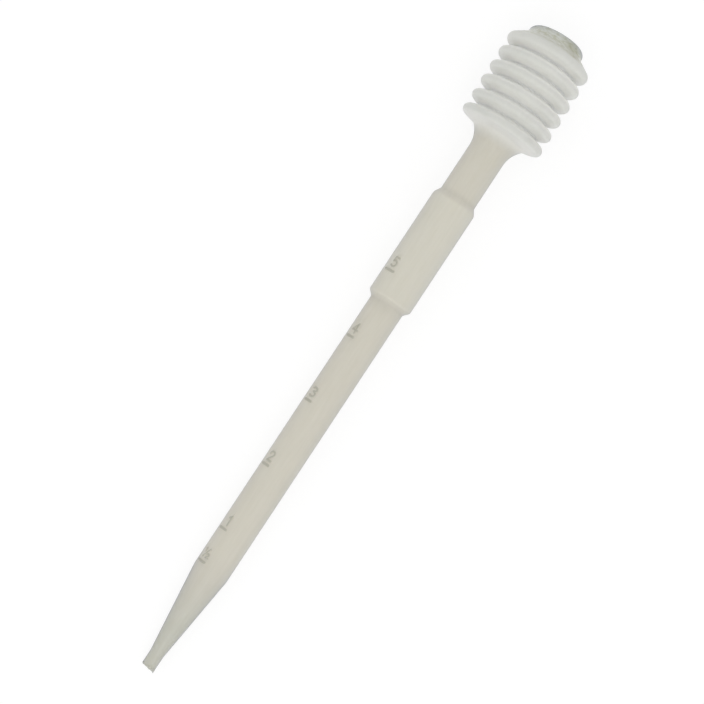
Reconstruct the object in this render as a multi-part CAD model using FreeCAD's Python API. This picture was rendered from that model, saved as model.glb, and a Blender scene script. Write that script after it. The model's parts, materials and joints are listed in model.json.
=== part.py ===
# Bellows dropper pipette, blow moulded in one piece from low-density polyethylene.
#
# The pipette is drawn along its own axis, with zero at the middle of the trimmed tip face and
# the bulb at the far end.  It is then laid down the way it comes to rest on a bench, on the
# bellows rib next to the shoulder and the wide end of the taper, with the tip just off the
# bench and the graduations up and to one side.  Finished frame: +X towards the bulb, +Z up,
# and the origin on the bench under the middle of the box round the pipette.  Millimetres and
# degrees throughout.

import FreeCAD, Part
import math
import os
from collections import namedtuple

Vector = FreeCAD.Vector

# ------------------------------------------------------------------- driving dimensions

# Nozzle: the straight end that drips, opened by a knife cut after moulding.
nozzle_diameter = 3.70
nozzle_bore = 1.85
nozzle_length = 3.5
trim_angle = 8.0            # how far the knife cut is off square; the plain side stays longer
trim_waste = 1.5            # moulded beyond the cut, and thrown away

# Taper from the nozzle up to the stem.
taper_length = 25.0
taper_foot_blend = 8.0
taper_top_blend = 6.0

# Graduated stem.
stem_diameter = 9.36
stem_length = 79.05
stem_wall = 0.65

# Holding sleeve, the wider length between stem and neck.
sleeve_diameter = 12.0
sleeve_length = 28.3        # between the centres of its two edge roundings
sleeve_wall = 0.65
step_slope = 43.0           # the lower end, rising from the stem
step_fillet = 0.8
step_rounding = 0.9
collar_slope = 31.0         # the upper end, falling to the neck
collar_rounding = 1.6
collar_fillet = 1.0

# Neck, and the trumpet shoulder that opens into the bulb.
neck_diameter = 9.92
neck_length = 12.9
neck_wall = 0.65
shoulder_radius = 7.0
shoulder_slope = 40.0       # of the trumpet where it runs into the first rib
shoulder_rim_diameter = 14.45
shoulder_rim_fillet = 0.4
shoulder_wall = 0.55

# Bellows bulb.
rib_count = 6
rib_pitch = 4.29
rib_diameter = 23.1
rib_flank_slope = 70.0      # of the faces of a rib, from the axis
first_flank_slope = 75.5    # of the first rib's face towards the shoulder
groove_depth = 3.0
groove_radius = 0.3
bellows_wall = 0.5

# Boss that closes the bulb, where the parison was pinched off and the plastic is thickest.
boss_diameter = 15.3
boss_slope = 56.0           # of the last rib's outer face, falling to the boss
boss_height = 1.95           # from its foot fillet to its end
boss_fillet = 0.8
boss_rounding = 1.8
boss_wall = 1.1

# Raised graduation bars: one for each millilitre, and one for the half.
bar_count = 5
bar_pitch = 19.06
first_bar = 39.2            # the one-millilitre bar, from the tip
half_bar_drop = 9.65        # from the one-millilitre bar down to the half
bar_width = 0.55
bar_height = 0.22
bar_root = 0.3              # let into the wall
bar_start = 33.0            # round from the pipette's top line, towards the graduated side
bar_end = 66.0

# ------------------------------------------------------------------- outline geometry

# One rounded turn of the outline.  The radius is positive where the outline bulges away from
# the axis, negative in a hollow and zero at a point; wall is the plastic behind it.
Turn = namedtuple("Turn", "along out radius wall")

axis_point = Vector(0, 0, 0)
axis_direction = Vector(1, 0, 0)


def bulge(along, reach, radius, wall):
    """Convex turn whose outermost point lies at reach from the axis."""
    return Turn(along, reach - radius, radius, wall)


def hollow(along, reach, radius, wall):
    """Concave turn whose innermost point lies at reach from the axis."""
    return Turn(along, reach + radius, -radius, wall)


def heading(first, second):
    """Direction of the straight run that two turns in a row share."""
    run = second.along - first.along
    rise = second.out - first.out
    lean = math.asin((first.radius - second.radius) / math.hypot(run, rise))
    return math.atan2(rise, run) - lean


def after(first, slope, turn):
    """The turn moved along the axis until its run from the first has the given slope."""
    angle = math.radians(slope)
    rise = turn.out - first.out
    spread = first.radius - turn.radius
    run = (rise * math.cos(angle) - spread) / math.sin(angle)
    touching = math.sqrt(max(spread ** 2 - rise ** 2, 0.0))
    return turn._replace(along=first.along + max(run, touching))


def touch(turn, angle):
    """Point of a turn where the outline heads at an angle."""
    along = turn.along - turn.radius * math.sin(angle)
    return Vector(along, 0, turn.out + turn.radius * math.cos(angle))


def belt(turns, last_heading):
    """Edges of a line pulled tight over the turns, which leaves the last of them as given."""
    headings = [heading(a, b) for a, b in zip(turns, turns[1:])] + [last_heading]
    leave = touch(turns[0], headings[0])
    edges = []
    for turn, before, behind in zip(turns[1:], headings, headings[1:]):
        arrive = touch(turn, before)
        edges.append(Part.makeLine(leave, arrive))
        leave = touch(turn, behind)
        middle = touch(turn, (before + behind) / 2)
        edges.append(Part.Arc(arrive, middle, leave).toShape())
    return edges


def spin(turns):
    """Solid of revolution inside a row of turns that ends square across the axis."""
    edges = belt(turns, math.radians(-90))
    start = edges[0].firstVertex().Point
    end = edges[-1].lastVertex().Point
    corners = [end, Vector(end.x, 0, 0), Vector(start.x, 0, 0), start]
    edges += [Part.makeLine(a, b) for a, b in zip(corners, corners[1:])]
    return Part.Face(Part.Wire(edges)).revolve(axis_point, axis_direction, 360)


def behind_wall(turn):
    """The same turn on the inside of its wall; a rounding within its wall ends as a point."""
    left = turn.radius - turn.wall
    return turn._replace(radius=max(left, 0.0) if turn.radius > 0 else left)


# ------------------------------------------------------------------- stretches of the outline

def nozzle_and_taper():
    """From the waste beyond the tip to the top of the taper."""
    reach = nozzle_diameter / 2
    wall = (nozzle_diameter - nozzle_bore) / 2
    top = nozzle_length + taper_length
    return [Turn(-trim_waste, reach, 0.0, wall),
            hollow(nozzle_length, reach, taper_foot_blend, wall),
            bulge(top, stem_diameter / 2, taper_top_blend, stem_wall)]


def holding_sleeve(stem_top):
    """The stepped lower end of the sleeve and the sloping collar at its upper end."""
    foot = hollow(stem_top, stem_diameter / 2, step_fillet, stem_wall)
    lower = bulge(0.0, sleeve_diameter / 2, step_rounding, sleeve_wall)
    lower = after(foot, step_slope, lower)
    upper = bulge(lower.along + sleeve_length, sleeve_diameter / 2, collar_rounding, sleeve_wall)
    neck = hollow(0.0, neck_diameter / 2, collar_fillet, neck_wall)
    return [foot, lower, upper, after(upper, -collar_slope, neck)]


def trumpet_shoulder(neck_top):
    """The flare of the neck and the tight fillet where it runs into the first rib."""
    flare = hollow(neck_top, neck_diameter / 2, shoulder_radius, shoulder_wall)
    rim = hollow(0.0, shoulder_rim_diameter / 2, shoulder_rim_fillet, shoulder_wall)
    return [flare, after(flare, shoulder_slope, rim)]


def rib_crest_radius():
    """Radius that rounds a rib off between flanks of the given slope and depth."""
    angle = math.radians(rib_flank_slope)
    flank = rib_pitch / 2 * math.sin(angle) - groove_depth * math.cos(angle)
    return flank / (1 - math.cos(angle)) - groove_radius


def bellows(rim):
    """The crest of each rib, with a tight groove between it and the next."""
    crest = bulge(0.0, rib_diameter / 2, rib_crest_radius(), bellows_wall)
    crest = after(rim, first_flank_slope, crest)
    bottom = rib_diameter / 2 - groove_depth
    groove = hollow(crest.along + rib_pitch / 2, bottom, groove_radius, bellows_wall)
    turns = [crest]
    for number in range(rib_count - 1):
        shift = number * rib_pitch
        turns.append(groove._replace(along=groove.along + shift))
        turns.append(crest._replace(along=crest.along + shift + rib_pitch))
    return turns


def end_boss(last_crest):
    """The foot of the boss and its rounded edge."""
    foot = hollow(0.0, boss_diameter / 2, boss_fillet, boss_wall)
    foot = after(last_crest, -boss_slope, foot)
    edge = foot.along + boss_height - boss_rounding
    return [foot, bulge(edge, boss_diameter / 2, boss_rounding, boss_wall)]


def outline():
    """Every turn of the outside, from the waste beyond the tip to the end of the boss."""
    turns = nozzle_and_taper()
    turns += holding_sleeve(turns[-1].along + stem_length)
    turns += trumpet_shoulder(turns[-1].along + neck_length)
    turns += bellows(turns[-1])
    turns += end_boss(turns[-1])
    return turns


# ------------------------------------------------------------------- the moulding

def blown_shell(turns):
    """The moulding as it leaves the mould, hollow from the nozzle to the boss."""
    return spin(turns).cut(spin([behind_wall(turn) for turn in turns]))


def bar_places():
    """Distances of the graduation bars from the tip."""
    places = [first_bar + number * bar_pitch for number in range(bar_count)]
    return [first_bar - half_bar_drop] + places


def graduation_bar(along, turns):
    """One raised bar, an arc let into the outside of the wall."""
    outside = Part.Wire(belt(turns, math.radians(-90)))
    probe = Part.makeLine(Vector(along, 0, 0), Vector(along, 0, rib_diameter))
    surface = outside.distToShape(probe)[1][0][0].z
    low, high = surface - bar_root, surface + bar_height
    left, right = along - bar_width / 2, along + bar_width / 2
    corners = [Vector(left, 0, low), Vector(right, 0, low),
               Vector(right, 0, high), Vector(left, 0, high), Vector(left, 0, low)]
    section = Part.Face(Part.makePolygon(corners))
    section.rotate(axis_point, axis_direction, -bar_start)
    return section.revolve(axis_point, axis_direction, bar_start - bar_end)


def trimmed(shell):
    """The moulding after the knife has cut off the waste and opened the tip."""
    size = 4 * (nozzle_diameter + trim_waste)
    waste = Part.makeBox(size, size, size, Vector(-size, -size / 2, -size / 2))
    waste.rotate(axis_point, Vector(0, 0, 1), -trim_angle)
    return shell.cut(waste)


def resting_tilt(turns):
    """Slope of the bench under the widest bulge and whatever stands on it nearer the tip."""
    widest = max(turns, key=lambda turn: turn.out + turn.radius)
    rim = Turn(0.0, nozzle_diameter / 2, 0.0, 0.0)
    feet = [rim] + [turn for turn in turns[:turns.index(widest)] if turn.radius > 0]
    return min(heading(foot, widest) for foot in feet)


def laid_down(pipette, turns):
    """The pipette at rest on the bench, over the origin."""
    pipette.rotate(axis_point, Vector(0, 1, 0), -math.degrees(resting_tilt(turns)))
    box = pipette.optimalBoundingBox()
    pipette.translate(Vector(-box.Center.x, -box.Center.y, -box.ZMin))
    return pipette


def pipette_body():
    """The whole pipette, one piece of plastic."""
    turns = outline()
    bars = [graduation_bar(along, turns) for along in bar_places()]
    body = trimmed(blown_shell(turns).fuse(bars))
    return laid_down(body.Solids[0], turns)


if __name__ == "__main__":
    os.makedirs("parts", exist_ok=True)
    body = pipette_body()
    body.exportStep("parts/pipette_body.step")
    box = body.optimalBoundingBox()
    print("valid", body.isValid(), "volume", round(body.Volume, 1), "mm3")
    print("box", [round(v, 2) for v in (box.XLength, box.YLength, box.ZLength)])
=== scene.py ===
"""A bellows dropper pipette, blow moulded in one piece from low-density polyethylene.

It lies on a bench the way it comes to rest, graduations up and to one side.  Each stretch of the
moulding is a class that continues the outline of the stretch before it.  The moulding spins the
outline into one mesh with an outside and an inside wall, raises the graduations and the parting
line on it, trims the tip and lets the soft bulb sag.  Sizes are in millimetres along the
pipette's own axis, with zero at the middle of the trimmed tip face; the finished mesh is in
metres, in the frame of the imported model.
"""

import json
import logging
import math
from abc import ABC, abstractmethod
from dataclasses import dataclass, field, replace
from enum import Enum

import bpy
import numpy as np
from mathutils import Matrix, Vector


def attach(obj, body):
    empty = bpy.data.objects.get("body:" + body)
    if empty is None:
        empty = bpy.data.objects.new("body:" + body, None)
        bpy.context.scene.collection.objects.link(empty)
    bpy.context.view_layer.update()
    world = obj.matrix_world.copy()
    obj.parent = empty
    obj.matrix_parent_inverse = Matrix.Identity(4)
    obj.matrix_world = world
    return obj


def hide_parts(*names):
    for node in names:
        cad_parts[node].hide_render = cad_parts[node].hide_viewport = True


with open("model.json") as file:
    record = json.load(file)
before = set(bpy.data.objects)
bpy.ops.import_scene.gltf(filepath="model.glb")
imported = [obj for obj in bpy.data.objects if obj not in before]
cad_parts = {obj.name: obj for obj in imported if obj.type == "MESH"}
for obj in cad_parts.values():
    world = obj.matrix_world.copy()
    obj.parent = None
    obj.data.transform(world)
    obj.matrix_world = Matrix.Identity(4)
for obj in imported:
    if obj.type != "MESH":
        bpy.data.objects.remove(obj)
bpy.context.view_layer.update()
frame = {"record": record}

MM = 0.001
LOG = logging.getLogger("pipette")

Colour = tuple[float, float, float, float]
Triple = tuple[float, float, float]
Span = tuple[float, float]
Noise = tuple[Triple, float]
Socket = bpy.types.NodeSocket


# ----- the outline


@dataclass(frozen=True)
class Turn:
    """One rounded turn of the outline, in a plane through the axis.

    The radius is positive where the outline bulges away from the axis, negative in a hollow and
    zero at a corner.  The wall is the plastic behind the turn.
    """

    along: float
    out: float
    radius: float
    wall: float

    @classmethod
    def bulge(cls, along: float, reach: float, radius: float, wall: float) -> "Turn":
        """Convex turn whose outermost point lies at reach from the axis."""
        return cls(along, reach - radius, radius, wall)

    @classmethod
    def hollow(cls, along: float, reach: float, radius: float, wall: float) -> "Turn":
        """Concave turn whose innermost point lies at reach from the axis."""
        return cls(along, reach + radius, -radius, wall)

    def heading_to(self, other: "Turn") -> float:
        """Angle from the axis of the run that this turn shares with the next, in radians."""
        run, rise = other.along - self.along, other.out - self.out
        lean = math.asin((self.radius - other.radius) / math.hypot(run, rise))
        return math.atan2(rise, run) - lean

    def after(self, first: "Turn", slope: float) -> "Turn":
        """This turn moved along the axis until its run from another has a given slope.

        Args:
            first: the turn that the run comes from.
            slope: the slope of the run, in degrees.

        Returns:
            The moved turn.
        """
        angle = math.radians(slope)
        rise, spread = self.out - first.out, first.radius - self.radius
        run = (rise * math.cos(angle) - spread) / math.sin(angle)
        touching = math.sqrt(max(spread**2 - rise**2, 0.0))
        return replace(self, along=first.along + max(run, touching))

    def touch(self, angle: float) -> tuple[float, float]:
        """Point of the turn where the outline heads at an angle, as along and out."""
        return (
            self.along - self.radius * math.sin(angle),
            self.out + self.radius * math.cos(angle),
        )

    def behind_wall(self) -> "Turn":
        """The same turn on the inside of its wall."""
        left = self.radius - self.wall
        return replace(self, radius=max(left, 0.0) if self.radius > 0 else left)


class Stretch(ABC):
    """A stretch of the moulding that continues the outline of the stretch before it."""

    @abstractmethod
    def turns(self, before: list[Turn]) -> list[Turn]:
        """The turns that this stretch adds.

        Args:
            before: the turns of the outline so far, from the tip.

        Returns:
            The new turns, in order from the tip to the bulb.
        """


@dataclass(frozen=True)
class DripNozzle(Stretch):
    """The straight end that drips, opened by a knife cut a little off square.

    The cut leaves a burr on one side.  Each tear of its rim is a height, a number of waves round
    the rim and the angle by which they are shifted.
    """

    diameter: float = 3.70
    bore: float = 1.85
    length: float = 3.5
    foot_blend: float = 8.0
    trim_angle: float = 8.0
    trim_depth: float = 0.9
    burr_length: float = 0.34
    burr_spread: float = 26.0
    burr_around: float = -90.0
    tears: tuple[Triple, ...] = ((0.05, 5.0, 0.0), (0.03, 11.0, 40.0))

    def turns(self, before: list[Turn]) -> list[Turn]:
        """The cut rim and the hollow where the taper begins.  See Stretch.turns."""
        reach, wall = self.diameter / 2, (self.diameter - self.bore) / 2
        foot = Turn.hollow(self.length, reach, self.foot_blend, wall)
        return [Turn(0.0, reach, 0.0, wall), foot]

    def knife_cut(self, along: np.ndarray, around: np.ndarray, out: np.ndarray) -> np.ndarray:
        """How far the cut moves each point of the nozzle along the axis.

        Args:
            along: distances from the tip.
            around: angles from the top line towards the graduated side, in degrees.
            out: distances from the axis.

        Returns:
            The moves, which fade to nothing behind the cut.
        """
        side = np.sin(np.radians(around))
        slant = out * side * math.tan(math.radians(self.trim_angle))
        turned = (around - self.burr_around + 180.0) % 360.0 - 180.0
        burr = -self.burr_length * np.exp(-((turned / self.burr_spread) ** 2))
        ragged = sum(
            height * np.sin(np.radians(waves * around + shift))
            for height, waves, shift in self.tears
        )
        left = np.clip(1.0 - along / self.trim_depth, 0.0, 1.0)
        outer = np.clip((out - self.bore / 2) / ((self.diameter - self.bore) / 2), 0.0, 1.0)
        return (slant + burr * outer**2 + ragged * outer) * left


@dataclass(frozen=True)
class GraduatedStem(Stretch):
    """The taper up from the nozzle and the straight stem that carries the graduations."""

    diameter: float = 9.36
    length: float = 79.05
    wall: float = 0.65
    taper_length: float = 25.0
    top_blend: float = 6.0
    step_fillet: float = 0.8

    def turns(self, before: list[Turn]) -> list[Turn]:
        """The top of the taper and the fillet under the sleeve.  See Stretch.turns."""
        reach, top = self.diameter / 2, before[-1].along + self.taper_length
        return [
            Turn.bulge(top, reach, self.top_blend, self.wall),
            Turn.hollow(top + self.length, reach, self.step_fillet, self.wall),
        ]


@dataclass(frozen=True)
class HoldingSleeve(Stretch):
    """The wider length that the fingers hold, with a stepped and a sloping end."""

    diameter: float = 12.0
    length: float = 28.3
    wall: float = 0.65
    step_slope: float = 43.0
    step_rounding: float = 0.9
    collar_slope: float = 31.0
    collar_rounding: float = 1.6
    collar_fillet: float = 1.0
    neck_diameter: float = 9.92

    def turns(self, before: list[Turn]) -> list[Turn]:
        """Both edges of the sleeve and the fillet at the neck.  See Stretch.turns."""
        reach = self.diameter / 2
        lower = Turn.bulge(0.0, reach, self.step_rounding, self.wall)
        lower = lower.after(before[-1], self.step_slope)
        upper = Turn.bulge(lower.along + self.length, reach, self.collar_rounding, self.wall)
        neck = Turn.hollow(0.0, self.neck_diameter / 2, self.collar_fillet, self.wall)
        return [lower, upper, neck.after(upper, -self.collar_slope)]


@dataclass(frozen=True)
class TrumpetNeck(Stretch):
    """The neck and the trumpet shoulder that opens it into the bulb."""

    diameter: float = 9.92
    length: float = 12.9
    wall: float = 0.55
    shoulder_radius: float = 7.0
    shoulder_slope: float = 40.0
    rim_diameter: float = 13.48
    rim_fillet: float = 1.5

    def turns(self, before: list[Turn]) -> list[Turn]:
        """The flare and the fillet at the first rib.  See Stretch.turns."""
        top = before[-1].along + self.length
        flare = Turn.hollow(top, self.diameter / 2, self.shoulder_radius, self.wall)
        rim = Turn.hollow(0.0, self.rim_diameter / 2, self.rim_fillet, self.wall)
        return [flare, rim.after(flare, self.shoulder_slope)]


@dataclass(frozen=True)
class Bellows(Stretch):
    """The ribs of the bulb, with a tight groove between each two."""

    rib_count: int = 6
    rib_pitch: float = 4.29
    rib_diameter: float = 23.1
    flank_slope: float = 70.0
    first_flank_slope: float = 75.5
    groove_depth: float = 3.0
    groove_radius: float = 0.3
    wall: float = 0.5
    painted_light_rise: float = 0.72
    boss_side_rise: float = 0.48

    def crest_radius(self) -> float:
        """Radius that rounds a rib off between its flanks."""
        angle = math.radians(self.flank_slope)
        flank = self.rib_pitch / 2 * math.sin(angle) - self.groove_depth * math.cos(angle)
        return flank / (1 - math.cos(angle)) - self.groove_radius

    def fold(self, out: float, past_first: float) -> float:
        """How deep between two crests a ring lies, as the share of painted light that lifts the
        grooves' shade; it rises sooner on faces towards the boss.

        Args:
            out: the ring's radius.
            past_first: how far the ring lies past the first crest.

        Returns:
            The share, from nothing at a crest to one in a groove.
        """
        depth = min(max((self.rib_diameter / 2 - out) / self.groove_depth, 0.0), 1.0)
        past_crest = past_first % self.rib_pitch < self.rib_pitch / 2
        faces_boss = past_crest and past_first > self.rib_pitch
        return depth ** (self.boss_side_rise if faces_boss else self.painted_light_rise)

    def turns(self, before: list[Turn]) -> list[Turn]:
        """Crests and grooves in turn, from the shoulder.  See Stretch.turns."""
        reach = self.rib_diameter / 2
        crest = Turn.bulge(0.0, reach, self.crest_radius(), self.wall)
        crest = crest.after(before[-1], self.first_flank_slope)
        middle = crest.along + self.rib_pitch / 2
        groove = Turn.hollow(middle, reach - self.groove_depth, self.groove_radius, self.wall)
        made = [crest]
        for number in range(self.rib_count - 1):
            shift = number * self.rib_pitch
            made.append(replace(groove, along=groove.along + shift))
            made.append(replace(crest, along=crest.along + shift + self.rib_pitch))
        return made


@dataclass(frozen=True)
class EndBoss(Stretch):
    """The boss that closes the bulb, where the plastic was pinched off and is thickest."""

    diameter: float = 15.3
    slope: float = 56.0
    height: float = 1.95
    fillet: float = 0.8
    rounding: float = 1.8
    wall: float = 1.1

    def turns(self, before: list[Turn]) -> list[Turn]:
        """The foot of the boss and its rounded edge.  See Stretch.turns."""
        foot = Turn.hollow(0.0, self.diameter / 2, self.fillet, self.wall)
        foot = foot.after(before[-1], -self.slope)
        edge = foot.along + self.height - self.rounding
        return [foot, Turn.bulge(edge, self.diameter / 2, self.rounding, self.wall)]


# ----- what is raised on it


class Numeral(Enum):
    """The numerals moulded beside the graduations, as strokes in a box one unit high."""

    HALF = (
        ((0.02, 0.88), (0.14, 1.0), (0.14, 0.56)),
        ((0.10, 0.02), (0.62, 0.98)),
        (
            (0.52, 0.36), (0.58, 0.45), (0.70, 0.48), (0.81, 0.42), (0.81, 0.30),
            (0.52, 0.02), (0.86, 0.02),
        ),
    )
    ONE = (((0.12, 0.78), (0.36, 1.0), (0.36, 0.0)),)
    TWO = (
        (
            (0.04, 0.74), (0.08, 0.88), (0.22, 0.98), (0.42, 1.0), (0.58, 0.9),
            (0.62, 0.72), (0.52, 0.52), (0.04, 0.0), (0.66, 0.0),
        ),
    )
    THREE = (
        (
            (0.05, 0.86), (0.18, 0.98), (0.38, 1.0), (0.56, 0.92), (0.6, 0.74),
            (0.48, 0.6), (0.26, 0.55), (0.5, 0.5), (0.64, 0.36), (0.62, 0.14),
            (0.44, 0.01), (0.2, 0.0), (0.03, 0.14),
        ),
    )
    FOUR = (((0.5, 0.0), (0.5, 1.0), (0.02, 0.3), (0.68, 0.3)),)
    FIVE = (
        (
            (0.6, 1.0), (0.14, 1.0), (0.09, 0.55), (0.28, 0.63), (0.48, 0.61),
            (0.64, 0.46), (0.65, 0.24), (0.52, 0.05), (0.3, 0.0), (0.04, 0.1),
        ),
    )

    def distance(self, right: np.ndarray, up: np.ndarray) -> np.ndarray:
        """How far each point lies from the nearest stroke.

        Args:
            right: places across the numeral, in units of its height.
            up: places up the numeral, in units of its height.

        Returns:
            The distances, in units of its height.
        """
        nearest = np.full(right.shape, np.inf)
        for stroke in self.value:
            for (x0, y0), (x1, y1) in zip(stroke, stroke[1:]):
                dx, dy = x1 - x0, y1 - y0
                share = ((right - x0) * dx + (up - y0) * dy) / (dx * dx + dy * dy)
                share = np.clip(share, 0.0, 1.0)
                gap = np.hypot(right - x0 - share * dx, up - y0 - share * dy)
                nearest = np.minimum(nearest, gap)
        return nearest

    def width(self) -> float:
        """Width of the numeral, in units of its height."""
        return max(point[0] for stroke in self.value for point in stroke)


def soft_step(distance: np.ndarray, half_width: float, edge: float) -> np.ndarray:
    """Height of a raised stroke with rounded edges, from nothing to one.

    Args:
        distance: how far each point lies from the middle line of the stroke.
        half_width: half the width of the stroke.
        edge: how wide its rounded edge is.

    Returns:
        The heights.
    """
    share = np.clip((half_width + edge / 2 - distance) / edge, 0.0, 1.0)
    return share * share * (3.0 - 2.0 * share)


@dataclass(frozen=True)
class Graduations:
    """Raised bars for each millilitre and for the half, each with its numeral."""

    first_bar: float = 39.2
    pitch: float = 19.06
    half_drop: float = 9.65
    bar_width: float = 0.65
    start: float = 30.0
    end: float = 66.0
    height: float = 0.22
    edge: float = 0.16
    numeral_height: float = 2.55
    numeral_gap: float = 1.15
    numeral_middle: float = 44.5
    stroke: float = 0.48
    half_stroke_share: float = 0.7
    clear_below: float = 0.5
    clear_above: float = 0.4
    reach: float = 6.0

    def marks(self) -> list[tuple[float, Numeral]]:
        """Each bar's distance from the tip, with its numeral."""
        whole = [Numeral.ONE, Numeral.TWO, Numeral.THREE, Numeral.FOUR, Numeral.FIVE]
        marks = [(self.first_bar - self.half_drop, Numeral.HALF)]
        return marks + [(self.first_bar + k * self.pitch, n) for k, n in enumerate(whole)]

    def spans(self) -> list[Span]:
        """The lengths of the stem that a bar and its numeral take up."""
        top = self.numeral_gap + self.numeral_height + self.clear_above
        return [(along - self.clear_below, along + top) for along, _ in self.marks()]

    def relief(self, along: np.ndarray, around: np.ndarray, out: np.ndarray) -> np.ndarray:
        """How high the bars and numerals stand at each point, from nothing to one.

        Args:
            along: distances from the tip.
            around: angles from the top line towards the graduated side, in degrees.
            out: distances from the axis.

        Returns:
            The heights, as shares of the full height.
        """
        raised = np.zeros(along.shape)
        turned = (around + 180.0) % 360.0 - 180.0
        for place, numeral in self.marks():
            near = np.nonzero(np.abs(along - place) < self.reach)[0]
            u, a, r = along[near] - place, turned[near], out[near]
            arc = np.radians(a) * r
            low, high = np.radians(self.start) * r, np.radians(self.end) * r
            past = np.maximum(np.maximum(low - arc, arc - high) + self.bar_width / 2, 0.0)
            bar = soft_step(np.hypot(u, past), self.bar_width / 2, self.edge)
            size = self.numeral_height
            middle = np.radians(self.numeral_middle) * r
            right = (middle - arc) / size + numeral.width() / 2
            gap = numeral.distance(right, (u - self.numeral_gap) / size) * size
            thin = self.half_stroke_share if numeral is Numeral.HALF else 1.0
            digit = soft_step(gap, self.stroke * thin / 2, self.edge)
            raised[near] = np.maximum(raised[near], np.maximum(bar, digit))
        return raised


@dataclass(frozen=True)
class PartingLine:
    """The faint ridge where the two halves of the mould met, and the scar on the boss."""

    around: float = -34.0
    width: float = 0.28
    height: float = 0.035
    scar_width: float = 0.55
    scar_height: float = 0.22
    scar_half_length: float = 5.3
    scar_edge: float = 0.3
    stain_spread: float = 3.0

    def ridge(self, around: np.ndarray, out: np.ndarray) -> np.ndarray:
        """Height of the ridge at each point of the wall, in millimetres."""
        off = (around - self.around + 90.0) % 180.0 - 90.0
        return self.height * soft_step(np.abs(np.radians(off)) * out, self.width / 2, self.width)

    def scar(self, around: np.ndarray, out: np.ndarray) -> np.ndarray:
        """Height of the pinched-off scar across the end of the boss, in millimetres."""
        off = np.radians(around - self.around)
        across, beside = np.abs(out * np.cos(off)), np.abs(out * np.sin(off))
        past = np.maximum(across - self.scar_half_length, 0.0)
        raised = soft_step(np.hypot(beside, past), self.scar_width / 2, self.scar_edge)
        return self.scar_height * raised

    def stain(self, around: np.ndarray, out: np.ndarray) -> np.ndarray:
        """How dull the pinched plastic is at each point, from nothing to one along the scar."""
        beside = out * np.sin(np.radians(around - self.around))
        return np.exp(-((beside / self.stain_spread) ** 2))


# ----- how it lies


@dataclass(frozen=True)
class BulbSet:
    """The lean and droop that the soft bulb has taken, which the rigid stem has not."""

    lean: float = 2.35
    lean_from: float = 148.0
    droop: float = 4.5
    droop_from: float = 161.0
    end: float = 188.0

    def bend(self, points: np.ndarray) -> np.ndarray:
        """Turns each section of the bulb a little further than the one before it.

        Args:
            points: rows of distance from the tip, sideways place and height over the axis.

        Returns:
            The bent points.
        """
        u, y, h = points[:, 0], points[:, 1], points[:, 2]
        side, side_turn = self._shift(u, self.lean, self.lean_from)
        down, down_turn = self._shift(u, self.droop, self.droop_from)
        return np.column_stack((u - y * side_turn + h * down_turn, y + side, h - down))

    def _shift(self, u: np.ndarray, angle: float, start: float) -> tuple[np.ndarray, np.ndarray]:
        """Sideways shift and turn of each section for one bend.

        Args:
            u: distances from the tip.
            angle: the bend's whole angle, in degrees.
            start: where the bend begins.

        Returns:
            The shifts, in millimetres, and the turns, in radians.
        """
        length = self.end - start
        share = np.clip((u - start) / length, 0.0, None)
        whole = math.radians(angle)
        return whole * length * share**2 / 2, whole * share


@dataclass(frozen=True)
class Lie:
    """Where the pipette's own axis lies in the frame."""

    tip: Vector
    towards_bulb: Vector

    @classmethod
    def from_record(cls, record: dict) -> "Lie":
        """Reads the axis from the bore that the record states at the tip."""
        bore = next(mount for mount in record["mounts"] if mount["name"] == "tip_bore")
        outwards = Vector(bore["axis"]).normalized()
        middle = Vector(bore["pos_m"])
        return cls(middle + outwards * (bore["dims"]["length_mm"] * MM / 2), -outwards)

    @property
    def upwards(self) -> Vector:
        """Direction from the axis to the top line of the pipette."""
        return Vector((-self.towards_bulb.z, 0.0, self.towards_bulb.x))

    def place(self, points: np.ndarray) -> np.ndarray:
        """Takes rows of distance from the tip, sideways place and height to the frame's x, y, z."""
        turn = np.array([self.towards_bulb, (0.0, 1.0, 0.0), self.upwards])
        return np.array(self.tip) + points @ turn * MM


# ----- rings and skins

EVEN_STEP = 5.0
MARKED_ARC = (25.0, 75.0)
MARKED_COLUMNS = 42
SCAR_END_STEPS = (-3, -1.8, -0.9, 0, 0.9, 1.8, 3)
SCAR_END_CLEAR = 0.9
SAME_ANGLE = 1e-6


class Columns(Enum):
    """How the points of a ring are spread round the axis."""

    PLAIN = "even steps"
    MARKED = "even steps, with close ones under the graduations"
    SCARRED = "even steps, with close ones at the ends of the pinch-off scar"

    def angles(self) -> np.ndarray:
        """Angles from the top line towards the graduated side, in degrees, from nought."""
        even = np.arange(0.0, 360.0, EVEN_STEP)
        if self is Columns.MARKED:
            low, high = MARKED_ARC
            outside = even[(even < low) | (even > high)]
            return np.sort(np.concatenate((outside, np.linspace(low, high, MARKED_COLUMNS))))
        if self is Columns.SCARRED:
            base = PartingLine().around % 360.0
            near = [base + side + step for side in (0, 180) for step in SCAR_END_STEPS]
            near = np.array(near) % 360.0
            away = [a for a in even if min(abs((a - near + 180) % 360 - 180)) > SCAR_END_CLEAR]
            return np.sort(np.concatenate((away, near)))
        return even


@dataclass(frozen=True)
class Station:
    """Where a ring stands: its distance from the tip, its radius and its columns."""

    along: float
    out: float
    columns: Columns = Columns.PLAIN


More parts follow.
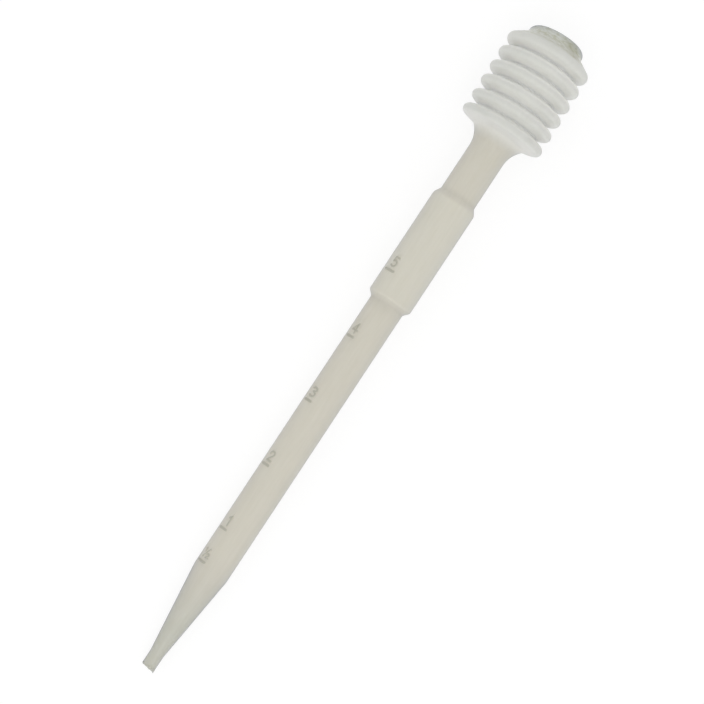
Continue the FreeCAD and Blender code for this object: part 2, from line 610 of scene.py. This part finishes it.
@dataclass
class Outline:
    """The row of turns that is spun into a wall."""

    turns: list[Turn]

    def inside(self) -> "Outline":
        """The same outline on the inside of the wall."""
        return Outline([turn.behind_wall() for turn in self.turns])

    def stations(self, arc_step: float, run_step: float) -> list[Station]:
        """Rings along the outline, close together in the turns.

        Args:
            arc_step: the most that the outline may turn from ring to ring, in degrees.
            run_step: the longest step along a straight run, in millimetres.

        Returns:
            The stations, from the tip to the edge of the flat end.
        """
        headings = [a.heading_to(b) for a, b in zip(self.turns, self.turns[1:])]
        headings.append(math.radians(-90.0))
        points = [self.turns[0].touch(headings[0])]
        for turn, arrive, leave in zip(self.turns[1:], headings, headings[1:]):
            first, start = points[-1], turn.touch(arrive)
            steps = max(1, math.ceil(math.dist(first, start) / run_step))
            for k in range(1, steps + 1):
                points.append(tuple(a + (b - a) * k / steps for a, b in zip(first, start)))
            if turn.radius:
                steps = max(1, math.ceil(abs(math.degrees(leave - arrive)) / arc_step))
                for k in range(1, steps + 1):
                    points.append(turn.touch(arrive + (leave - arrive) * k / steps))
        return [Station(along, out) for along, out in points]


@dataclass(frozen=True)
class Ring:
    """A ring of a skin: the number of its first point, and its angles in degrees from nought."""

    first: int
    angles: np.ndarray


@dataclass
class Skin:
    """Points and faces that grow ring by ring, with the traits of the plastic at each point."""

    points: list[np.ndarray] = field(default_factory=list)
    faces: list[tuple[int, ...]] = field(default_factory=list)
    traits: dict[str, list[np.ndarray]] = field(default_factory=dict)
    count: int = 0

    def ring(self, points: np.ndarray, **traits: float | np.ndarray) -> int:
        """Adds a ring of points.

        Args:
            points: rows of distance from the tip, sideways place and height over the axis.
            traits: each trait of the plastic there, for the ring or for each point.

        Returns:
            The number of the ring's first point.
        """
        first = self.count
        self.points.append(points)
        self.count += len(points)
        for name, value in traits.items():
            self.traits.setdefault(name, []).append(np.broadcast_to(value, len(points)))
        return first

    def bridge(self, low: Ring, high: Ring, inside: bool) -> None:
        """Fills the band between two rings.

        Args:
            low: the ring nearer the tip.
            high: the ring nearer the bulb.
            inside: whether the faces look towards the axis.
        """
        n, m = len(low.angles), len(high.angles)
        low_next = np.append(low.angles[1:], 360.0)
        high_next = np.append(high.angles[1:], 360.0)
        i = j = 0
        while i < n or j < m:
            a0, b0 = low.first + i % n, high.first + j % m
            a1, b1 = low.first + (i + 1) % n, high.first + (j + 1) % m
            ahead = (low_next[i] if i < n else math.inf) - (high_next[j] if j < m else math.inf)
            if abs(ahead) < SAME_ANGLE:
                face, i, j = (a0, b0, b1, a1), i + 1, j + 1
            elif ahead < 0:
                face, i = (a0, b0, a1), i + 1
            else:
                face, j = (a0, b0, b1), j + 1
            self.faces.append(face[::-1] if inside else face)

    def close(self, ring: Ring, middle: int, inside: bool) -> None:
        """Fans a ring to a point in its middle.

        Args:
            ring: the ring.
            middle: number of the point in the middle.
            inside: whether the faces look towards the tip.
        """
        size = len(ring.angles)
        for k in range(size):
            face = (ring.first + k, middle, ring.first + (k + 1) % size)
            self.faces.append(face[::-1] if inside else face)

    def piece(self, name: str, points: np.ndarray) -> bpy.types.Object:
        """Makes the skin into an object.

        Args:
            name: the object's name, and its mesh's.
            points: where each point lies in the frame, in metres.

        Returns:
            The object.
        """
        mesh = bpy.data.meshes.new(name)
        mesh.from_pydata(points.tolist(), [], self.faces)
        for trait, values in self.traits.items():
            layer = mesh.attributes.new(trait, "FLOAT", "POINT")
            layer.data.foreach_set("value", np.concatenate(values).astype(np.float32))
        mesh.shade_smooth()
        mesh.validate()
        piece = bpy.data.objects.new(name, mesh)
        bpy.context.collection.objects.link(piece)
        return piece


# ----- finishes

MIX_SHARE, MIX_BASE, MIX_OVER, MIX_RESULT = 0, 6, 7, 2


class Nodes:
    """Short ways to lay out the nodes of a material or a world."""

    def __init__(self, owner: bpy.types.Material | bpy.types.World, output: str) -> None:
        """Empties the nodes.

        Args:
            owner: the material or world that holds them.
            output: the type of its output node.
        """
        owner.use_nodes = True
        self.owner, self.tree = owner, owner.node_tree
        self.tree.nodes.clear()
        self.output = self.add(output)

    @classmethod
    def of_material(cls, name: str) -> "Nodes":
        """Starts a new material."""
        return cls(bpy.data.materials.new(name), "ShaderNodeOutputMaterial")

    def show(self, shader: bpy.types.Node) -> bpy.types.Material | bpy.types.World:
        """Leads the last shader to the output, and returns the finished owner."""
        self.tree.links.new(shader.outputs[0], self.output.inputs["Surface"])
        return self.owner

    def add(self, kind: str, inputs: dict | None = None, **settings: object) -> bpy.types.Node:
        """Adds a node.

        Args:
            kind: the node's type.
            inputs: values or sockets for its inputs, by name or number.
            settings: its other settings.

        Returns:
            The node.
        """
        node = self.tree.nodes.new(kind)
        for name, value in settings.items():
            setattr(node, name, value)
        for name, value in (inputs or {}).items():
            if isinstance(value, Socket):
                self.tree.links.new(value, node.inputs[name])
            else:
                node.inputs[name].default_value = value
        return node

    def trait(self, name: str) -> Socket:
        """Reads one trait of the plastic at each point of the mesh."""
        return self.add("ShaderNodeAttribute", attribute_name=name).outputs["Fac"]

    def noise(self, place: Socket, size: Triple, detail: float) -> Socket:
        """Cloudy noise whose patches have a given size along each axis.

        Args:
            place: where each point is, in metres.
            size: the patches' size along x, y and z, in millimetres.
            detail: how much finer noise is laid over it.

        Returns:
            The socket that holds the noise.
        """
        stretch = {"Vector": place, "Scale": tuple(1.0 / (edge * MM) for edge in size)}
        vector = self.add("ShaderNodeMapping", stretch).outputs["Vector"]
        inputs = {"Vector": vector, "Scale": 1.0, "Detail": detail}
        return self.add("ShaderNodeTexNoise", inputs).outputs["Fac"]

    def ramp(self, value: Socket, low: float, high: float) -> Socket:
        """Takes a value to nought at and below low, and to one at and above high."""
        node = self.add("ShaderNodeMapRange", {"Value": value, "From Min": low, "From Max": high})
        return node.outputs["Result"]

    def math(self, operation: str, first: Socket, second: Socket | float) -> Socket:
        """Works one number out of two by an operation."""
        return self.add("ShaderNodeMath", {0: first, 1: second}, operation=operation).outputs[0]

    def blend(self, share: Socket, base: Socket | Colour, over: Colour, how: str = "MIX") -> Socket:
        """Lays one colour over another.

        Args:
            share: how much of the upper colour shows.
            base: the lower colour.
            over: the upper colour.
            how: the way of mixing.

        Returns:
            The socket that holds the mixed colour.
        """
        inputs = {MIX_SHARE: share, MIX_BASE: base, MIX_OVER: over}
        settings = {"data_type": "RGBA", "blend_type": how, "clamp_factor": True}
        return self.add("ShaderNodeMix", inputs, **settings).outputs[MIX_RESULT]


@dataclass(frozen=True)
class MilkyPolyethylene:
    """Milky low-density polyethylene: satin, and light seeps through its thin walls.

    The tube's and the tip's tints come in over a range of walls, in millimetres.  Noise is given by
    its patches' size in millimetres and its detail.
    """

    rib: Colour = (0.690, 0.695, 0.653, 1.0)
    # painted light: a paler colour laid into the grooves and onto the shoulder to lift their shade,
    # with a painted highlight on the shoulder
    fold: Colour = (0.975, 0.970, 0.915, 1.0)
    tube: Colour = (0.715, 0.684, 0.592, 1.0)
    tube_walls: Span = (0.50, 0.65)
    sleeve: Colour = (0.742, 0.716, 0.621, 1.0)
    tip: Colour = (0.640, 0.632, 0.548, 1.0)
    tip_walls: Span = (0.66, 0.84)
    pinch: Colour = (0.705, 0.713, 0.665, 1.0)
    dull: Colour = (0.420, 0.418, 0.300, 1.0)
    dull_floor: float = 0.5
    # colour of the raised marks, also laid as painted shade into the concave feet at the sleeve's
    # ends and at the boss
    raised: Colour = (0.470, 0.455, 0.380, 1.0)
    streak: Colour = (0.965, 0.965, 0.955, 1.0)
    streaks: Noise = ((9.0, 0.7, 0.7), 3.0)
    streak_range: Span = (0.35, 0.75)
    mottle: Colour = (0.80, 0.795, 0.70, 1.0)
    mottles: Noise = ((0.45, 1.3, 1.3), 5.0)
    mottle_range: Span = (0.40, 0.66)
    grain: Noise = ((0.4, 0.4, 0.4), 2.0)
    grain_strength: float = 0.12
    grain_height: float = 0.0002
    roughness: float = 0.36
    roughness_spread: float = 0.1
    rough_patches: Noise = ((8.0, 8.0, 8.0), 3.0)
    scatter_depth: float = 0.0010
    scatter_tint: Triple = (1.0, 0.985, 0.95)
    skin_tint: Colour = (0.895, 0.903, 0.925, 1.0)
    skin_roughness: float = 0.4
    skin_index: float = 1.01
    index: float = 1.51

    def material(self) -> bpy.types.Material:
        """Lays out the plastic's nodes.

        Returns:
            The material.
        """
        nodes = Nodes.of_material("milky_polyethylene")
        place = nodes.add("ShaderNodeTexCoord").outputs["Object"]
        grain = nodes.noise(place, *self.grain)
        relief = {"Height": grain, "Strength": self.grain_strength, "Distance": self.grain_height}
        bump = nodes.add("ShaderNodeBump", relief)
        cloud = nodes.noise(place, *self.rough_patches)
        spread = nodes.math("MULTIPLY", cloud, self.roughness_spread)
        rough = nodes.math("ADD", spread, self.roughness - self.roughness_spread / 2)
        shader = nodes.add(
            "ShaderNodeBsdfPrincipled",
            {
                "Base Color": self.colour(nodes, place),
                "Roughness": rough,
                "Normal": bump.outputs["Normal"],
                "IOR": self.index,
                "Subsurface Weight": 1.0,
                "Subsurface Radius": self.scatter_tint,
                "Subsurface Scale": self.scatter_depth,
                "Coat Weight": nodes.trait("skin"),
                "Coat Roughness": self.skin_roughness,
                "Coat IOR": self.skin_index,
                "Coat Tint": self.skin_tint,
            },
        )
        return nodes.show(shader)

    def colour(self, nodes: Nodes, place: Socket) -> Socket:
        """Lays out the nodes that tint the plastic.

        Args:
            nodes: the material's nodes.
            place: where each point is, in metres.

        Returns:
            The socket that holds the colour.
        """
        wall = nodes.trait("wall")
        # painted light: the paler colour in the grooves between the ribs and on the shoulder
        colour = nodes.blend(nodes.trait("fold"), self.rib, self.fold)
        colour = nodes.blend(nodes.ramp(wall, *self.tube_walls), colour, self.tube)
        colour = nodes.blend(nodes.ramp(wall, *self.tip_walls), colour, self.tip)
        colour = nodes.blend(nodes.trait("blown"), colour, self.sleeve)
        streaks = nodes.ramp(nodes.noise(place, *self.streaks), *self.streak_range)
        colour = nodes.blend(streaks, colour, self.streak, "MULTIPLY")
        pinched = nodes.trait("pinched")
        colour = nodes.blend(pinched, colour, self.pinch)
        patches = nodes.ramp(nodes.noise(place, *self.mottles), *self.mottle_range)
        mottled = nodes.math("MULTIPLY", patches, pinched)
        colour = nodes.blend(mottled, colour, self.mottle, "MULTIPLY")
        patches = nodes.math("MAXIMUM", patches, self.dull_floor)
        stain = nodes.math("MULTIPLY", nodes.trait("stain"), patches)
        colour = nodes.blend(nodes.math("MULTIPLY", stain, pinched), colour, self.dull)
        # the raised marks' colour, and painted shade in the concave feet at the sleeve's ends and
        # at the foot of the boss
        return nodes.blend(nodes.trait("raised"), colour, self.raised)


@dataclass(frozen=True)
class PaleBench:
    """Plain pale bench top, which shows white and keeps a soft shadow."""

    colour: Colour = (0.86, 0.86, 0.86, 1.0)
    shadow: float = 0.20
    light: float = 0.87

    def material(self) -> bpy.types.Material:
        """Lays out the bench's nodes.

        Returns:
            The material.
        """
        nodes = Nodes.of_material("pale_bench")
        plain = nodes.add("ShaderNodeBsdfDiffuse", {"Color": self.colour})
        kept = self.shadow / self.light
        shade = nodes.add("ShaderNodeBsdfDiffuse", {"Color": (kept, kept, kept, 1.0)})
        white = nodes.add("ShaderNodeEmission", {"Strength": 1.0 - self.shadow})
        seen = nodes.add("ShaderNodeAddShader", {0: shade.outputs[0], 1: white.outputs[0]})
        path = nodes.add("ShaderNodeLightPath").outputs
        straight = nodes.math("MAXIMUM", path["Is Camera Ray"], path["Is Glossy Ray"])
        straight = nodes.math("MAXIMUM", straight, path["Is Transmission Ray"])
        inputs = {0: straight, 1: plain.outputs[0], 2: seen.outputs[0]}
        return nodes.show(nodes.add("ShaderNodeMixShader", inputs))


# ----- the moulding


class Mark(Enum):
    """Turns of the outside near which the plastic changes, by number from the tip or the end."""

    TIP = 0
    STEP_FOOT = 3
    STEP_EDGE = 4
    COLLAR_EDGE = 5
    NECK_FOOT = 6
    FLARE = 7
    FIRST_CREST = 9
    LAST_CREST = -3
    BOSS_FOOT = -2
    BOSS_EDGE = -1

    def along(self, turns: list[Turn]) -> float:
        """How far the turn lies from the tip."""
        return turns[self.value].along


@dataclass(frozen=True)
class Trend:
    """A number that runs straight between points: each a mark, a step past it and the value."""

    points: tuple[tuple[Mark, float, float], ...]

    def at(self, along: float, turns: list[Turn]) -> float:
        """The number at a distance from the tip, on an outside with these turns."""
        places = [mark.along(turns) + step for mark, step, _ in self.points]
        return float(np.interp(along, places, [value for _, _, value in self.points]))


@dataclass(frozen=True)
class Trends:
    """How the plastic's traits change along the pipette, from nothing to one."""

    # painted highlight on the trumpet shoulder, in the paler painted-light colour
    painted_shoulder_highlight: Trend = Trend((
        (Mark.FIRST_CREST, -6.0, 0.0), (Mark.FIRST_CREST, -3.0, 0.58),
        (Mark.FIRST_CREST, -2.2, 0.72), (Mark.FIRST_CREST, -1.5, 0.58),
        (Mark.FIRST_CREST, -0.5, 0.0),
    ))
    blown: Trend = Trend((
        (Mark.STEP_EDGE, -0.8, 0.0), (Mark.STEP_EDGE, 0.2, 1.0),
        (Mark.COLLAR_EDGE, -0.2, 1.0), (Mark.COLLAR_EDGE, 1.0, 0.0),
    ))
    # painted shade: the marks' darker colour laid into the concave feet at both ends of the sleeve
    # and at the foot of the boss
    painted_crease_shade: Trend = Trend((
        (Mark.STEP_FOOT, -0.9, 0.0), (Mark.STEP_FOOT, 0.0, 0.15), (Mark.STEP_FOOT, 0.9, 0.0),
        (Mark.NECK_FOOT, -0.9, 0.0), (Mark.NECK_FOOT, 0.0, 0.15), (Mark.NECK_FOOT, 0.9, 0.0),
        (Mark.BOSS_FOOT, -2.9, 0.0), (Mark.BOSS_FOOT, -2.0, 0.32), (Mark.BOSS_FOOT, -1.1, 0.0),
    ))
    pinched: Trend = Trend(((Mark.BOSS_FOOT, -2.6, 0.0), (Mark.BOSS_FOOT, -2.3, 1.0)))
    stain: Trend = Trend(((Mark.BOSS_EDGE, 0.3, 0.0), (Mark.BOSS_EDGE, 1.3, 0.5)))
    glassy: Trend = Trend((
        (Mark.TIP, 26.0, 1.0), (Mark.TIP, 34.0, 0.54),
        (Mark.FIRST_CREST, -4.0, 0.54), (Mark.FIRST_CREST, -2.2, 0.09),
        (Mark.BOSS_FOOT, 0.0, 0.09), (Mark.BOSS_EDGE, 0.0, 0.6), (Mark.BOSS_EDGE, 0.6, 1.0),
    ))
    neck_wall_past_flare: float = 2.5
    blown_wall_before_crest: float = 0.95


@dataclass(frozen=True)
class RingSpacing:
    """How far apart rings may stand, in degrees of a turn and millimetres of a straight run."""

    turn: float = 12.0
    run: float = 3.0
    bulb_run: float = 0.5
    marked_run: float = 0.11
    past_marks: float = 1.0
    inside_turn: float = 18.0
    inside_run: float = 4.0
    cap: tuple[float, ...] = (0.93, 0.84, 0.74, 0.64, 0.53, 0.42, 0.31, 0.21, 0.12, 0.05)
    inside_cap: tuple[float, ...] = (0.66, 0.33)


@dataclass
class Moulding:
    """The whole pipette, one piece of plastic from the nozzle to the boss."""

    lie: Lie
    nozzle: DripNozzle = DripNozzle()
    stem: GraduatedStem = GraduatedStem()
    sleeve: HoldingSleeve = HoldingSleeve()
    neck: TrumpetNeck = TrumpetNeck()
    bellows: Bellows = Bellows()
    boss: EndBoss = EndBoss()
    graduations: Graduations = Graduations()
    parting: PartingLine = PartingLine()
    bulb_set: BulbSet = BulbSet()
    finish: MilkyPolyethylene = MilkyPolyethylene()
    trends: Trends = Trends()
    spacing: RingSpacing = RingSpacing()

    def turns(self) -> list[Turn]:
        """Every turn of the outside, from the tip to the end of the boss."""
        turns: list[Turn] = []
        for stretch in (self.nozzle, self.stem, self.sleeve, self.neck, self.bellows, self.boss):
            turns += stretch.turns(turns)
        return turns

    def outer_stations(self) -> list[Station]:
        """Rings of the outside, close together under the graduations and on the bulb."""
        outline, spacing = Outline(self.turns()), self.spacing
        plain = outline.stations(spacing.turn, spacing.run)
        spans = self.graduations.spans()
        top = spans[-1][1] + spacing.past_marks
        below = [station for station in plain if station.along < top]
        along, out = [s.along for s in below], [s.out for s in below]
        made = [s for s in below if not any(a <= s.along <= b for a, b in spans)]
        for low, high in spans:
            for place in np.arange(low, high, spacing.marked_run).tolist():
                reach = float(np.interp(place, along, out))
                made.append(Station(place, reach, Columns.MARKED))
        made.sort(key=lambda station: station.along)
        made += [s for s in outline.stations(spacing.turn, spacing.bulb_run) if s.along >= top]
        edge = made[-1]
        cap = [Station(edge.along, edge.out * share, Columns.SCARRED) for share in spacing.cap]
        return made + cap

    def inner_stations(self) -> list[Station]:
        """Rings of the inside, from the tip to near the middle of the flat end."""
        inside, spacing = Outline(self.turns()).inside(), self.spacing
        made = inside.stations(spacing.inside_turn, spacing.inside_run)
        edge = made[-1]
        return made + [Station(edge.along, edge.out * share) for share in spacing.inside_cap]

    def build(self) -> bpy.types.Object:
        """Spins both faces of the wall, joins them at the tip and bends the whole.

        Returns:
            The pipette's object.
        """
        skin = Skin()
        outer = self.spin(skin, self.outer_stations(), False)
        inner = self.spin(skin, self.inner_stations(), True)
        skin.bridge(outer, inner, True)
        bent = self.bulb_set.bend(np.concatenate(skin.points))
        return skin.piece("pipette_moulding", self.lie.place(bent))

    def spin(self, skin: Skin, stations: list[Station], inside: bool) -> Ring:
        """Spins one face of the wall, marks and trims it, and closes its flat end.

        Args:
            skin: the skin to add to.
            stations: where its rings stand, from the tip.
            inside: whether the face looks towards the axis.

        Returns:
            Its first ring.
        """
        turns = self.turns()
        rings: list[Ring] = []
        for station in stations:
            angles = station.columns.angles()
            along = np.full(len(angles), station.along)
            out = np.full(len(angles), station.out)
            traits = self.traits(station, turns)
            cut = self.nozzle.knife_cut(along, angles, out)
            if not inside:
                raised = self.graduations.relief(along, angles, out)
                out = out + raised * self.graduations.height
                traits["raised"] = np.maximum(raised, traits["raised"])
                traits["stain"] = np.maximum(self.parting.stain(angles, out), traits["stain"])
                if station.columns is Columns.SCARRED:
                    along = along + self.parting.scar(angles, out)
                elif station.along > self.nozzle.length:
                    out = out + self.parting.ridge(angles, out)
            side = np.radians(angles)
            points = np.column_stack((along + cut, out * np.sin(side), out * np.cos(side)))
            rings.append(Ring(skin.ring(points, **traits), angles))
            if len(rings) > 1:
                skin.bridge(rings[-2], rings[-1], inside)
        middle = stations[-1].along + (0.0 if inside else self.parting.scar_height)
        pole = skin.ring(np.array([[middle, 0.0, 0.0]]), **self.traits(stations[-1], turns))
        skin.close(rings[-1], pole, inside)
        return rings[0]

    def traits(self, station: Station, turns: list[Turn]) -> dict[str, float | np.ndarray]:
        """What the plastic is like at a ring.

        Args:
            station: where the ring stands.
            turns: the turns of the outside.

        Returns:
            Its wall in millimetres, and from nothing to one how much painted light it takes
            (lifting the shade of the grooves, and a painted highlight on the shoulder), how
            pinched, how stained, how wide it is blown, how much it is raised or darkened by painted
            shade in a concave foot, and how glassy its skin is.
        """
        along, trends = station.along, self.trends
        first = Mark.FIRST_CREST.along(turns)
        walls = [(turn.along, turn.wall) for turn in turns[: Mark.FLARE.value]]
        walls.append((Mark.FLARE.along(turns) + trends.neck_wall_past_flare, self.sleeve.wall))
        walls.append((first - trends.blown_wall_before_crest, self.bellows.wall))
        # painted light in the grooves, and a painted highlight on the shoulder before the first
        # crest
        if first <= along <= Mark.LAST_CREST.along(turns):
            fold = self.bellows.fold(station.out, along - first)
        else:
            fold = trends.painted_shoulder_highlight.at(along, turns)
        return {
            "wall": float(np.interp(along, *zip(*walls))),
            "fold": fold,
            "pinched": trends.pinched.at(along, turns),
            "stain": trends.stain.at(along, turns),
            "blown": trends.blown.at(along, turns),
            # painted shade in the concave feet is carried with the raised marks
            "raised": trends.painted_crease_shade.at(along, turns),
            "skin": trends.glassy.at(along, turns),
        }

    def dress(self, piece: bpy.types.Object) -> None:
        """Gives the pipette its plastic and its place in the frame."""
        piece.data.materials.append(self.finish.material())
        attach(piece, "root")
        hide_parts("pipette_body")


# ----- bench, light and camera


@dataclass(frozen=True)
class Bench:
    """The plain bench under the pipette."""

    width: float = 6.0
    finish: PaleBench = PaleBench()

    def build(self) -> bpy.types.Object:
        """Lays the bench top at the height of the frame's floor.

        Returns:
            The bench's object.
        """
        half = self.width / 2
        corners = [(-half, -half, 0.0), (half, -half, 0.0), (half, half, 0.0), (-half, half, 0.0)]
        mesh = bpy.data.meshes.new("bench")
        mesh.from_pydata(corners, [], [(0, 1, 2, 3)])
        mesh.materials.append(self.finish.material())
        top = bpy.data.objects.new("bench", mesh)
        bpy.context.collection.objects.link(top)
        return top


@dataclass(frozen=True)
class SoftStudio:
    """Even, soft daylight from all round, with a large lamp overhead."""

    sky: float = 0.85
    horizon: float = 0.865
    lamp_power: float = 1.4
    lamp_size: float = 0.6
    lamp_place: Triple = (-0.50, -0.15, 0.93)
    sky_height: float = 0.8

    def build(self) -> None:
        """Makes the world and the lamp."""
        nodes = Nodes(bpy.data.worlds.new("soft_studio"), "ShaderNodeOutputWorld")
        place = nodes.add("ShaderNodeTexCoord").outputs["Generated"]
        height = nodes.add("ShaderNodeSeparateXYZ", {0: place}).outputs["Z"]
        inputs = {"Value": height, "From Min": 0.0, "From Max": self.sky_height}
        inputs |= {"To Min": self.horizon, "To Max": self.sky}
        strength = nodes.add("ShaderNodeMapRange", inputs).outputs["Result"]
        inputs = {"Color": (1.0, 1.0, 1.0, 1.0), "Strength": strength}
        light = nodes.add("ShaderNodeBackground", inputs)
        white = nodes.add("ShaderNodeBackground", inputs | {"Strength": 1.0})
        seen = nodes.add("ShaderNodeLightPath").outputs["Is Camera Ray"]
        inputs = {0: seen, 1: light.outputs[0], 2: white.outputs[0]}
        bpy.context.scene.world = nodes.show(nodes.add("ShaderNodeMixShader", inputs))
        lamp = bpy.data.lights.new("overhead_lamp", "AREA")
        lamp.energy, lamp.size = self.lamp_power, self.lamp_size
        holder = bpy.data.objects.new("overhead_lamp", lamp)
        holder.location = self.lamp_place
        holder.rotation_euler = Vector(self.lamp_place).to_track_quat("Z", "Y").to_euler()
        bpy.context.collection.objects.link(holder)


@dataclass(frozen=True)
class Viewpoint:
    """A camera over the pipette, turned so that the pipette's axis is seen at a slant."""

    aim: float = 93.3
    distance: float = 600.0
    lean: float = 2.0
    axis_slant: float = 56.54
    lens: float = 122.73
    far_clip: float = 20.0
    off_right: float = 0.663
    off_down: float = 0.550

    def build(self, lie: Lie) -> bpy.types.Object:
        """Puts the camera over the pipette.

        Args:
            lie: where the pipette's axis lies.

        Returns:
            The camera's object.
        """
        aim = lie.tip + lie.towards_bulb * self.aim * MM
        lean = math.radians(self.lean)
        back = lie.upwards * math.cos(lean) - lie.towards_bulb * math.sin(lean)
        along = (lie.towards_bulb - back * lie.towards_bulb.dot(back)).normalized()
        beside = back.cross(along)
        slant = math.radians(self.axis_slant)
        right = along * math.cos(slant) - beside * math.sin(slant)
        up = along * math.sin(slant) + beside * math.cos(slant)
        place = aim + (back * self.distance - right * self.off_right + up * self.off_down) * MM
        data = bpy.data.cameras.new("camera")
        data.lens = self.lens
        data.clip_end = self.far_clip
        camera = bpy.data.objects.new("camera", data)
        turn = Matrix((right, up, back)).transposed().to_4x4()
        camera.matrix_world = Matrix.Translation(place) @ turn
        bpy.context.collection.objects.link(camera)
        bpy.context.scene.camera = camera
        return camera


def main() -> None:
    """Builds the pipette on its bench, in order, and reports each piece."""
    logging.basicConfig(level=logging.INFO, format="%(name)s: %(message)s")
    scene = bpy.context.scene
    scene.view_settings.view_transform = "Standard"
    lie = Lie.from_record(frame["record"])
    moulding = Moulding(lie)
    pipette = moulding.build()
    moulding.dress(pipette)
    mesh = pipette.data
    LOG.info("%s: %d points, %d faces", pipette.name, len(mesh.vertices), len(mesh.polygons))
    top = Bench().build()
    LOG.info("%s laid", top.name)
    SoftStudio().build()
    camera = Viewpoint().build(lie)
    LOG.info("%s placed", camera.name)


if __name__ == "__main__":
    main()
